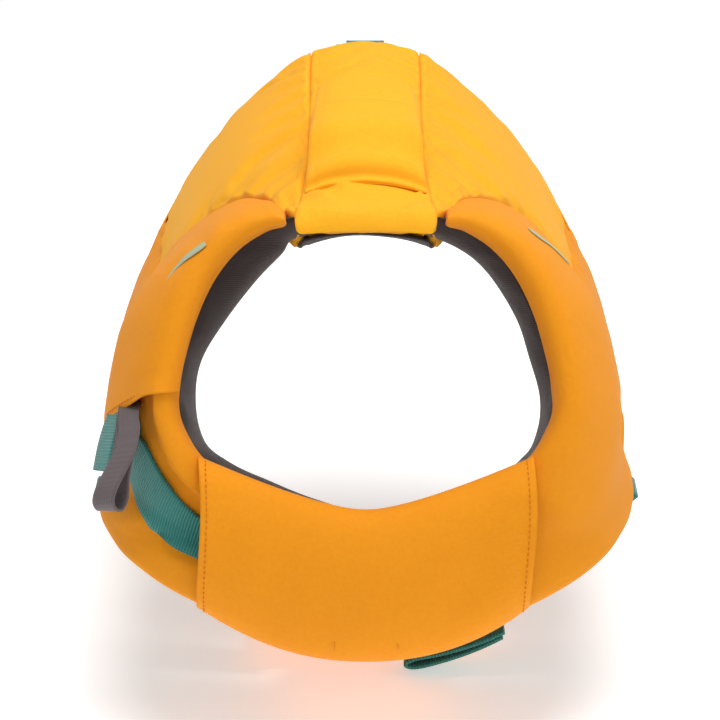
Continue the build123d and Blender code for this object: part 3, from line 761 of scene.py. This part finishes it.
front_turns = np.linspace(1.03 * pi, 1.97 * pi, 160)
for word, place in (("left", sleeve_end - 3.5), ("right", 3.5 - sleeve_end)):
    grid = sleeve_surface(place + np.array([-0.5, 0.0, 0.5])[:, None], front_turns[None, :])
    off = line_normals(grid, 1)
    off = off * -np.sign(off @ deep)[:, None]
    stitches(f"sleeve_{word}_stitching", grid[1] + 0.25 * off, off, thread_orange, "neck_sleeve")

# The flap's free edge, as points (|p|, q) from the lip to the outline
free_edge = ((80, -17.5), (89.5, -19), (110, -21.5), (125, -31), (133, -39), (150, -52))


def free_place(turn, side=-1):
    """Station at which each line along the collar reaches the flap's free edge."""
    places = np.linspace(4.4, 7.4, 400)[:, None]
    grid = collar_surface(places, turn[None, :], side=side, seed=4, trench_depth=0) - neck_centre
    p, q = np.abs(grid @ across), grid @ up_ring
    edge = np.interp(p, [a for a, _ in free_edge], [b for _, b in free_edge])
    return places[np.argmin(np.abs(q - edge), 0), 0]


flap_turns = np.linspace(0.05 * pi, 1.16 * pi, 110)
stop = evened(free_place(np.clip(flap_turns, 0.1, pi))[:, None], 12)[:, 0]
flap_v = np.linspace(0, 1, 110)[:, None]
flap_place = 1.9 + (stop[None, :] - 1.9) * flap_v
rise = smooth(flap_place, 2.0, 4.3)
lifted = 1.6 * smooth(flap_v, 0.86, 1.0) * (0.5 + 0.5 * np.sin(flap_turns[None, :] * 5.0))
hem_round = 0.9 * (1 - edge_round((1 - flap_v) * 100, 1.2))
flap = slab_piece(
    "neck_flap_cloth",
    collar_surface(flap_place, flap_turns[None, :], -0.5 + 2.6 * rise + lifted - hem_round, -1, 4, 0),
    collar_surface(flap_place, flap_turns[None, :], -1.6 + 1.9 * rise + lifted + hem_round, -1, 4, 0),
)
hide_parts("neck_flap")
beside_hem = (-0.13, -0.12, -0.11)
hem_grid = np.stack([collar_surface(stop + k, flap_turns, 2.2, -1, 4, 0) for k in beside_hem])
off = line_normals(hem_grid, 1)
off = off * np.sign(np.sum(off * (hem_grid[1] - ring(-105.0, -28.0, 14.0)), -1))[:, None]
stitches("flap_stitching", hem_grid[1, 8:-30] + 0.4 * off[8:-30], off[8:-30], thread_orange)
dress(flap, orange)

# From under the sleeve's end along the trench, to under the flap
strap_path = [(-62, -106), (-85.5, -93.5), (-102, -79), (-112, -63)]
strap_path += [(-118, -46), (-121, -32), (-122, -18), (-121, -6)]
neck_strap = laid_strip(
    "neck_strap_webbing", collar_skin[-1], strap_path, neck_strap_width, 0.4, webbing_thickness,
    rows=110, body_name=None,
)
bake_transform(neck_strap)
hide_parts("neck_strap")
dress(neck_strap, teal)

lock_path = [(-121.5, -12), (-121.8, -17), (-122, -22)]
lock = laid_strip("strap_lock_bar", collar_skin[-1], lock_path, 26.0, -2.8, 3.8, rows=20)
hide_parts("neck_strap_lock")
dress(lock, plastic)

trims = (
    (1, "left", ((83, 62), (95, 54), (104, 45)), 0.25),
    (-1, "right", ((-80, 54), (-91, 46), (-100, 36)), 0.6),
)
for side, word, path, lift in trims:
    width = 6.0 * np.linspace(1, 0.25, 60) * np.sin(pi * np.linspace(0.08, 0.98, 60)) ** 0.4
    trim = laid_strip(f"{word}_reflective_trim", collar_skin[side], path, width, lift, 0.5, rows=60)
    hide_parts(f"{word}_reflector")
    dress(trim, silver)

# ---------------------------------------------------------------- lining of the neck opening
# Points (p, q) of the padding's edge and of the lining's inner edge, clockwise from the top
padding_edge = (
    (0, 64.5), (25, 65), (45, 62), (60, 52), (72, 36), (82, 16), (89.5, -4), (91.5, -24),
    (87, -44), (76, -57), (58.5, -65), (30.5, -75), (0, -81), (-30.5, -75), (-58.5, -65), (-76, -57),
    (-87, -44), (-91, -24), (-88.5, -4), (-82, 16), (-72, 36), (-60, 52), (-45, 62), (-25, 65),
)
lining_edge = (
    (0, 59.5), (20, 60.5), (37, 56), (52, 48), (63.5, 36), (75.5, 16), (82, -4), (87, -24),
    (84.5, -44), (75, -56), (56, -64), (27, -74), (0, -79), (-24, -74), (-49, -64), (-68, -55),
    (-81, -44), (-85, -24), (-82, -4), (-70, 16), (-54.5, 36), (-42, 49), (-36, 56.5), (-18, 60),
)


def closed_spline(points, count):
    """A closed Catmull-Rom line through a few points, evenly divided."""
    points = np.asarray(points, float)
    padded = np.concatenate([points[-1:], points, points[:2]])
    return catmull(padded, np.arange(count) * len(points) / count)


def neck_lining():
    """A band from the padding's edge in to the narrowest line, then back out behind the padding.

    Each row is a mix of the two closed outlines, moved in depth along a rounded path.
    """
    count = 240
    # The narrowest line lies 34 mm behind the neck plane, so it is drawn larger to look its size
    wide = closed_spline(padding_edge, count)
    narrow = closed_spline(lining_edge, count) * (1 + 34 / view_distance)
    wide = wide + 3.0 * wide / np.linalg.norm(wide, axis=-1, keepdims=True)
    turn = np.arange(count) * 2 * pi / count
    rows = []
    path = ((0.0, 12), (0.35, 15), (0.72, 20), (0.93, 26), (1.0, 33))
    path += ((0.92, 41), (0.7, 48), (0.3, 54), (-0.2, 58))
    for mix, depth in path:
        gathers = 0.8 * np.sin(turn * 23 + depth * 0.12) * np.sin(pi * np.clip(mix, 0, 1))
        wobble = gathers + 0.5 * np.sin(turn * 9 + 1)
        outline = wide + (narrow - wide) * mix
        outline = outline * (1 - 0.006 * wobble[:, None] * (0.2 < mix < 0.98))
        rows.append(ring(outline[:, 0], outline[:, 1], depth + 0 * turn))
    smooth_rows = spline(np.array(rows), 40)
    thickness = 1.3
    outward = smooth_rows - (neck_centre + deep * 30)
    outward -= (outward @ deep)[..., None] * deep
    outward /= np.linalg.norm(outward, axis=-1, keepdims=True)
    inner = smooth_rows[::-1] + outward[::-1] * thickness
    loops = np.concatenate([smooth_rows, inner])
    made = tube_piece("neck_opening_lining", loops, closed=True)
    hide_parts("left_neck_lining", "right_neck_lining")
    return dress(made, lining)


neck_lining()

# ---------------------------------------------------------------- handle
handle_front, handle_rear = -70.0, 78.0


def top_of_back(x, y):
    """Height of the back's skin at x: the section's height at sin a = x / (W (1 - k))."""
    narrowing = 0.12 + 0.16 * share(y, back_front, narrow_from)
    s = np.clip(x / (half_width * (1 - narrowing)), -0.9, 0.9)
    above = back_height - widest_level - neck_drop * share(y, body_rear, back_front) ** 2
    return widest_level + above * np.sqrt(1 - s**2)


def handle_surface(y, turn):
    """Sections |x/w|^3.3 + |z/t|^2.2 = 1, sewn down at both ends and held up 7 mm between them."""
    y, turn = np.broadcast_arrays(np.asarray(y, float), np.asarray(turn, float))
    flat = smooth(y, -54, -30) * (1 - smooth(y, 34, 62))
    lift = 7.0 * flat
    width = 63 - 15 * share(y, handle_front, handle_rear)
    from_end = np.minimum(y - handle_front, handle_rear - y)
    tip = edge_round(from_end + 0.05, 1.2)
    width = width * (1 - 0.03 * (1 - tip))
    tall = (2.2 + 9.0 * edge_round(np.maximum(from_end - 5.0, 0), 11)) * (0.5 + 0.5 * tip)
    stitched = 0.8 * np.exp(-(((from_end - 5.2) / 0.9) ** 2))
    c, s = np.cos(turn), np.sin(turn)
    x = width / 2 * np.sign(c) * np.abs(c) ** 0.6
    z = tall / 2 * np.sign(s) * np.abs(s) ** (2 / 2.2)
    rim = np.exp(-((np.abs(x) - (width / 2 - 4.5)) / 1.4) ** 2)
    upper = np.clip(s, 0, 1)
    z = z - upper * (stitched + 0.5 * rim) + upper * 0.5 * ripple(x, y, 26, 12)
    base = (1 - 0.6 * flat) * top_of_back(x, y) + 0.6 * flat * top_of_back(0 * x, y)
    return np.stack([x, y, base + 0.4 + 1.6 * flat + lift + tall / 2 + z], -1)


handle_middle = -2.0
for word, first, last in (("front", handle_front, handle_middle), ("rear", handle_middle, handle_rear)):
    skin = handle_surface(np.linspace(first, last, 90)[:, None], around[None, :])
    part = tube_piece(f"handle_{word}_half", skin, None)
    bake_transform(part)
    replaced = ("handle_cover", "handle_foam") if word == "front" else ()
    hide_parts(*replaced, f"handle_{word}_anchor")
    dress(part, yellow)


# ---------------------------------------------------------------- straps under the body
def strap_frame(y, side):
    """Origin at the side panel's edge, direction to the belly, outward direction, length."""
    high = body(side_edge_angle, y, panel_depth / 2)
    low = (body(belly_edge_angle, y, 0.0) + body(belly_edge_angle, y, belly_depth)) / 2
    mirrored = np.array([side, 1.0, 1.0])
    high, low = high * mirrored, low * mirrored
    length = np.linalg.norm(low - high)
    along = (low - high) / length
    out = np.cross(along, np.array([0.0, side, 0.0]))
    return high, along, out, length


def strip(name, middle, out, width, thickness, material=teal, body_name="root"):
    """A strip of webbing along a path in a plane, as wide as given across that plane."""
    middle = np.asarray(middle, float)
    ahead = np.gradient(middle, axis=0)
    ahead /= np.linalg.norm(ahead, axis=-1, keepdims=True)
    sideways = np.asarray(out, float)
    normal = np.cross(ahead, sideways)
    offset = np.linspace(-0.5, 0.5, 9)[None, :, None] * width * sideways
    over = middle[:, None] + offset + normal[:, None] * thickness / 2
    under = middle[:, None] + offset - normal[:, None] * thickness / 2
    return dress(slab_piece(name, over, under, body_name), material)


across_strap = np.array([0.0, 1.0, 0.0])
for word, y in (("front", front_strap_y), ("rear", rear_strap_y)):
    origin, along, out, length = strap_frame(y, 1)
    reach = 30.0 if word == "front" else 18.0

    def stretch(first, last, height=0.0, origin=origin, along=along, out=out):
        steps = np.linspace(first, last, 60)[:, None]
        return origin + steps * along + height * out

    sewn_on = length + 12
    line = stretch(-reach, 9.0)
    anchor = strip(f"{word}_buckle_anchor_webbing", line, across_strap, webbing_width, 3.4)
    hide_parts(f"{word}_buckle_anchor")
    line = stretch(55.8, sewn_on)
    left = strip(f"{word}_left_webbing", line, across_strap, webbing_width, webbing_thickness)
    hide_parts(f"{word}_left_strap")
    origin, along, out, length = strap_frame(y, -1)
    line = stretch(-reach, sewn_on, 0.0, origin, along, out)
    right = strip(f"{word}_right_webbing", line, across_strap, webbing_width, webbing_thickness)
    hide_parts(f"{word}_right_strap")

# The front strap's end, folded over, as places (angle, depth below the skin)
fold = [(148, -1.4), (155, -1.6), (163, -1.6), (169, -1.8), (171.4, -4.2)]
fold += [(169.4, -6.6), (163, -5.8), (155, -4.6), (149, -3.6)]
fold_path = spline(fold, 120)
fold_middle = body(fold_path[:, 0], front_strap_y, fold_path[:, 1])
folded = strip("front_strap_fold", fold_middle, across_strap, webbing_width, 1.7)
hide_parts("front_strap_tail")

# ---------------------------------------------------------------- chest panel, binding, leash loop
def cushion(name, path, width, depth, seed):
    """A flat cushion along a path in the YZ plane, |x/w|^5 + |n/t|^2.4 = 1, thinner at both ends."""
    middle = spline([(0.0, *place) for place in path], 60)
    ahead = np.gradient(middle, axis=0)
    ahead /= np.linalg.norm(ahead, axis=-1, keepdims=True)
    normal = np.cross(ahead, across)
    v = np.linspace(0, 1, 60)[:, None]
    c, s = np.cos(around)[None, :], np.sin(around)[None, :]
    ends_in = edge_round(np.minimum(v, 1 - v) * 80 + 0.05, 7)
    x = width / 2 * (0.93 + 0.07 * ends_in) * np.sign(c) * np.abs(c) ** 0.4
    n = depth / 2 * (0.3 + 0.7 * ends_in) * np.sign(s) * np.abs(s) ** 0.83
    n = n + 0.6 * np.abs(s) * ripple(x, v * 80, 26, seed)
    made = tube_piece(name, middle[:, None] + x[..., None] * across + n[..., None] * normal[:, None])
    return dress(made, orange)


chest = cushion("chest_pad", ((-146, 60), (-128, 47), (-104, 32), (-83, 24.5)), 84.0, 13.0, 51)
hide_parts("chest_panel")


def binding_loop():
    """U of tape over the rear edge, as places (y, depth): out along one face and back along the other."""
    edge = [(160, -0.2), (165, 0.2), (169.6, 3.4), (171.4, 9)]
    edge += [(171.4, 16), (169.6, 22), (165, 25.8), (160, 26.4)]
    outside = spline(edge, 40)
    ahead = np.gradient(outside, axis=0)
    ahead /= np.linalg.norm(ahead, axis=-1, keepdims=True)
    return np.concatenate([outside + 1.0 * np.stack([ahead[:, 1], -ahead[:, 0]], -1), outside[::-1]])


loop = binding_loop()
angles = np.linspace(-112.3, 112.3, 180)[:, None]
binding = tube_piece("rear_hem_binding", body(angles, loop[None, :, 0], loop[None, :, 1]))
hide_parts("rear_binding")
dress(binding, yellow)

# The leash loop leaves the back, turns round the ring's bar and goes down behind the hem
ring_y, ring_z, bar_radius = 176.15, 280.0, 3.4
bar = [(ring_y + bar_radius * cos(t), ring_z + bar_radius * sin(t)) for t in np.linspace(2.0, -2.4, 14)]
loop_path = [(0, 152, 280.5), (0, 160, 281.6), (0, 166, 282.8), (0, 171.5, 283.6)]
loop_path += [(0, y, z) for y, z in bar] + [(0, 172.6, 275.5), (0, 171.8, 270.0)]
leash = strip("leash_loop_webbing", spline(loop_path, 150), across, 22.0, 1.7)
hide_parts("leash_loop")

# ---------------------------------------------------------------- tail of the neck strap
# The free end hangs from under the flap beside the pull loop, its face turned outwards
tail_line = spline([(-122, -20, 32), (-127, -32, 25), (-131, -46, 19), (-133.5, -60, 16)], 60)
tail_width = 0.9 * deep - 0.42 * across
tail_middle = ring(tail_line[:, 0], tail_line[:, 1], tail_line[:, 2])
tail = strip("neck_strap_tail_webbing", tail_middle, tail_width, 21.0, webbing_thickness)
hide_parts("neck_strap_tail")

# ---------------------------------------------------------------- pull loop
def pull_tape():
    """A closed loop of flat tape as places (p, q, d): the front leg swings out and down in a slow S,
    turns round the fold and comes back up behind. Its width leans 38 degrees forwards.
    """
    leg = [(-119, -25, 24), (-119.5, -31, 9), (-118.5, -39, 0), (-120, -49, -8), (-124, -58, -11)]
    leg += [(-128.5, -67, -12), (-130.5, -74, -10), (-129, -78.5, -6.5), (-126, -78, -3)]
    leg += [(-124, -72, -1.5), (-123.5, -62, -1), (-121.5, -50, 2), (-120.5, -38, 9), (-120.5, -27, 25)]
    leg = spline(leg, 150)
    return ring(leg[:, 0], leg[:, 1], leg[:, 2]), cos(radians(38)) * across - sin(radians(38)) * deep


pull_middle, pull_side = pull_tape()
pull = strip(
    "pull_loop_tape", pull_middle, pull_side, pull_tape_width, 1.2, grey, "pull_loop"
)
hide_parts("pull_loop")

# ---------------------------------------------------------------- hard fittings
for label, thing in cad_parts.items():
    moulding = ("buckle_" in label or "slider" in label) and not label.endswith("anchor")
    if moulding or label == "leash_ring":
        thing.data.materials.clear()
        thing.data.materials.append(plastic if moulding else metal)

# ---------------------------------------------------------------- floor, light and camera
floor_mesh = bpy.data.meshes.new("studio_floor")
floor_mesh.from_pydata([(-4, -3, 0), (4, -3, 0), (4, 5, 0), (-4, 5, 0)], [], [(0, 1, 2, 3)])
floor = bpy.data.objects.new("studio_floor", floor_mesh)
bpy.context.scene.collection.objects.link(floor)
# White backdrop paper, lit from below a little, so that it stays nearly white round the piece
paper, _, paper_shader = new_material("white_paper_backdrop", "#f6f6f6", 0.9)
floor_mesh.materials.append(paper)
paper_shader.inputs["Emission Color"].default_value = linear("#ffffff")
paper_shader.inputs["Emission Strength"].default_value = 0.42


def soft_light(name, place, aim, size, power):
    """A round soft lamp at a place in metres, turned to a point."""
    lamp = bpy.data.lights.new(name, "AREA")
    lamp.shape, lamp.size, lamp.energy = "DISK", size, power
    obj = bpy.data.objects.new(name, lamp)
    obj.location = place
    obj.rotation_euler = (Vector(aim) - Vector(place)).to_track_quat("-Z", "Y").to_euler()
    bpy.context.scene.collection.objects.link(obj)


soft_light("overhead_softbox", (0.1, -0.1, 1.7), (0, -0.05, 0.2), 1.3, 24)
soft_light("front_softbox", (-0.5, -2.0, 0.9), (0, -0.1, 0.18), 1.2, 1.6)
soft_light("right_softbox", (1.6, -0.9, 0.9), (0, -0.1, 0.18), 1.0, 4.0)

world = bpy.data.worlds.new("studio")
bpy.context.scene.world = world
world.use_nodes = True
sky = world.node_tree.nodes["Background"].inputs
sky["Color"].default_value = linear("#ffffff")
sky["Strength"].default_value = 0.38

bpy.context.scene.view_settings.view_transform = "Standard"

lens = bpy.data.cameras.new("camera")
lens.lens, lens.sensor_width = 160, 36
camera = bpy.data.objects.new("camera", lens)
camera.location = (neck_centre - deep * view_distance - across * 3 - up_ring * 4) * MM
camera.rotation_euler = (radians(90) - neck_tilt, 0, 0)
bpy.context.scene.collection.objects.link(camera)
bpy.context.scene.camera = camera
